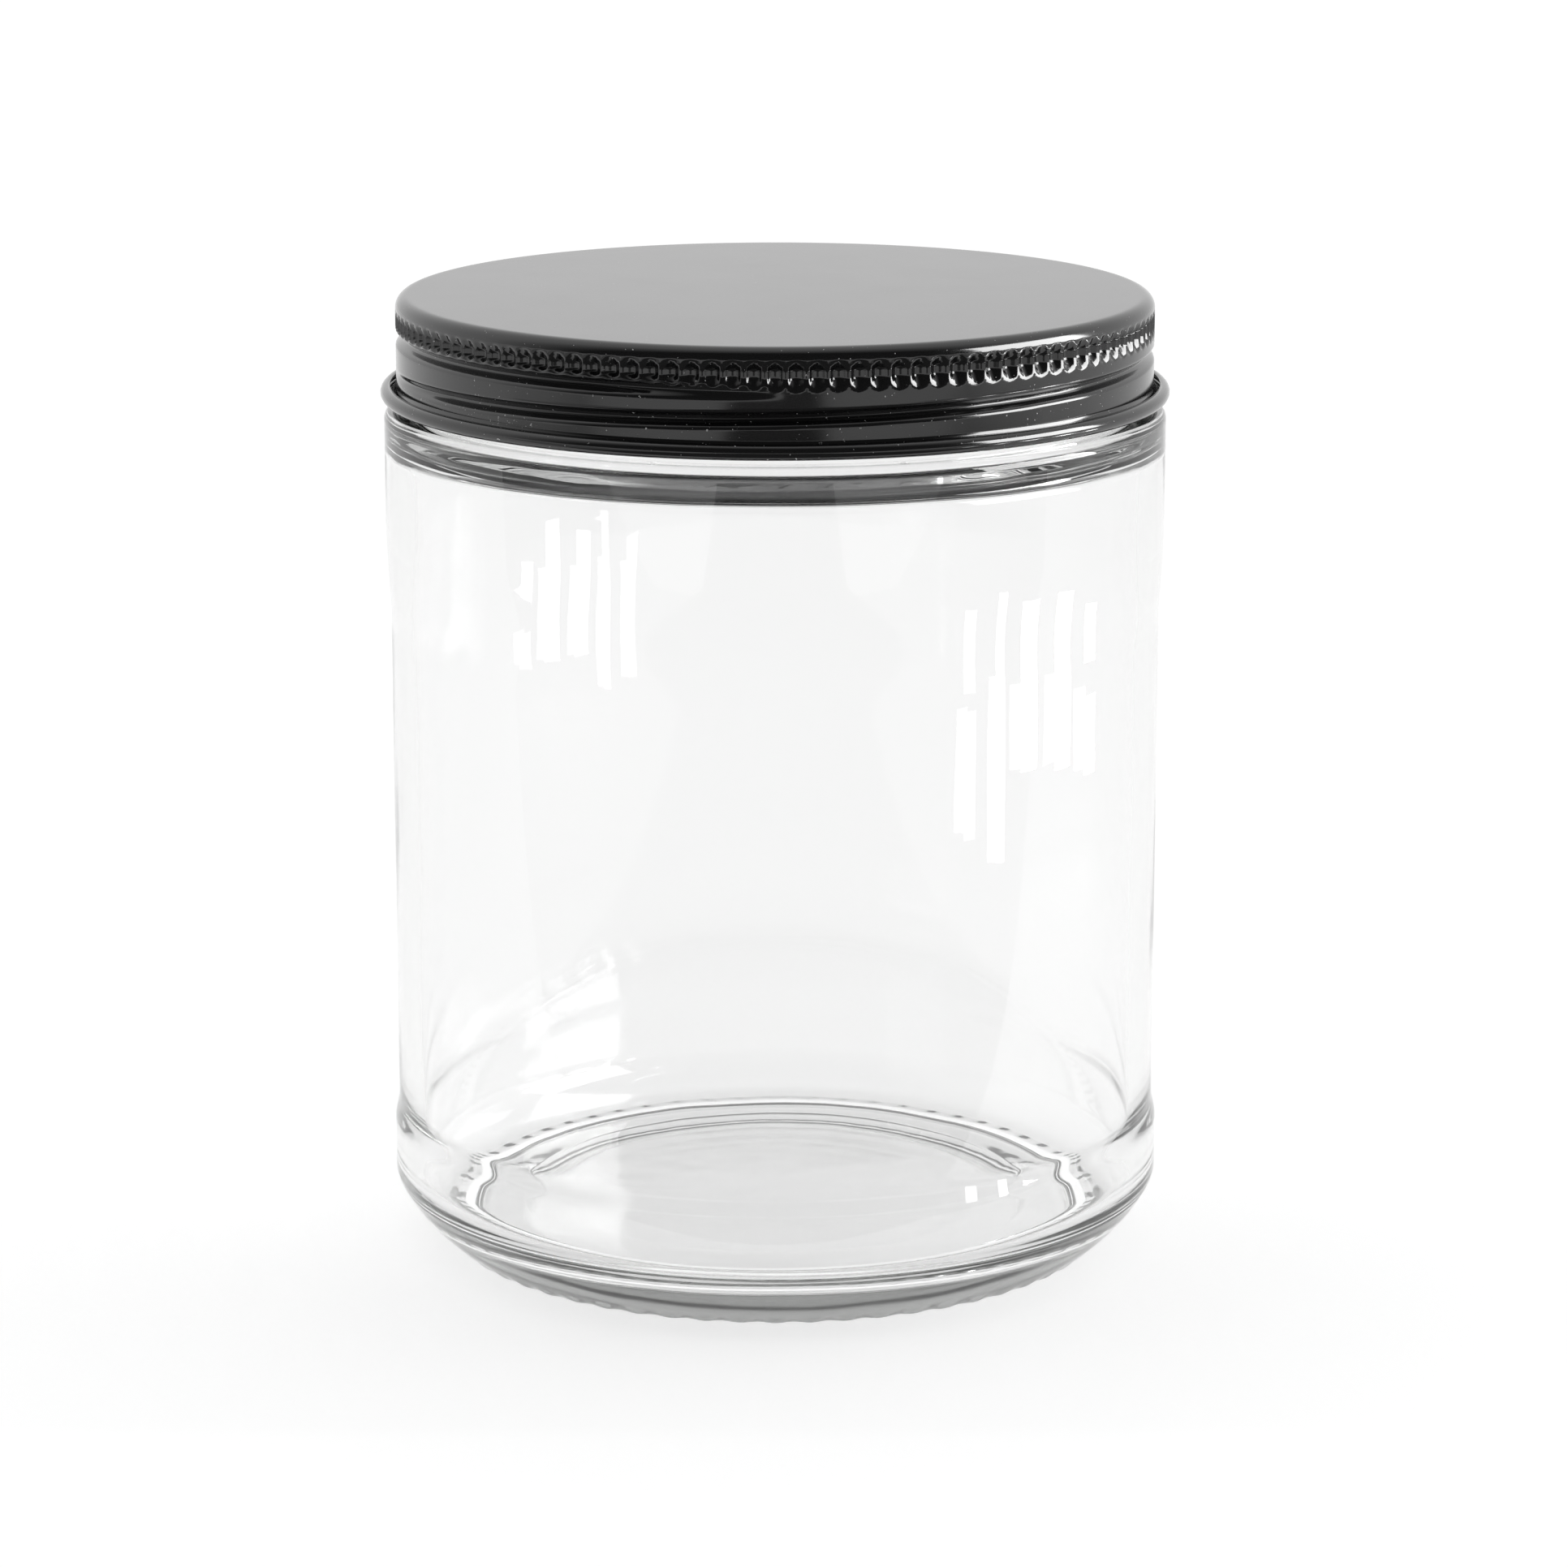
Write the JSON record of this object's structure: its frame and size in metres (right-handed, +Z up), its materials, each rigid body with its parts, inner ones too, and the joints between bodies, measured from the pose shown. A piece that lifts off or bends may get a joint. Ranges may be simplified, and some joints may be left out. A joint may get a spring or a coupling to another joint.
{
  "type": "specimen jar",
  "caption": "Straight-sided clear glass jar with a thick base and a short screw neck, closed by a black sheet-metal screw lid with a fluted grip band, a rolled edge and a loose disc liner.",
  "frame": {"origin": "centre of the standing ring, on the plane the jar stands on", "axes": "+Z up along the jar's axis, out through the mouth; the front is towards -Y; +X to the right as seen from the front"},
  "size_m": [0.0736, 0.0736, 0.0903],
  "materials": {
    "glass": "clear moulded glass, polished",
    "lid": "black enamel, satin on top and glossy on the sides",
    "wad": "grey pulpboard, matt",
    "facing": "dark film, satin"
  },
  "bodies": {
    "jar": {"glass_jar": "glass"},
    "liner": {"liner_wad": "wad", "liner_facing": "facing"},
    "lid": {"lid_shell": "lid"}
  },
  "joints": [
    {"name": "lid_lift", "type": "slide", "parent": "jar", "child": "liner", "axis": [0, 0, 1], "range_m": [0, 0.0128]},
    {"name": "lid_turn", "type": "hinge", "parent": "liner", "child": "lid", "pos_m": [0, 0, 0.09], "axis": [0, 0, 1], "range_deg": [0, 1080]}
  ],
  "couplings": [
    {"joint": "lid_lift", "follows": "lid_turn", "m_per_rad": 0.0006737}
  ]
}
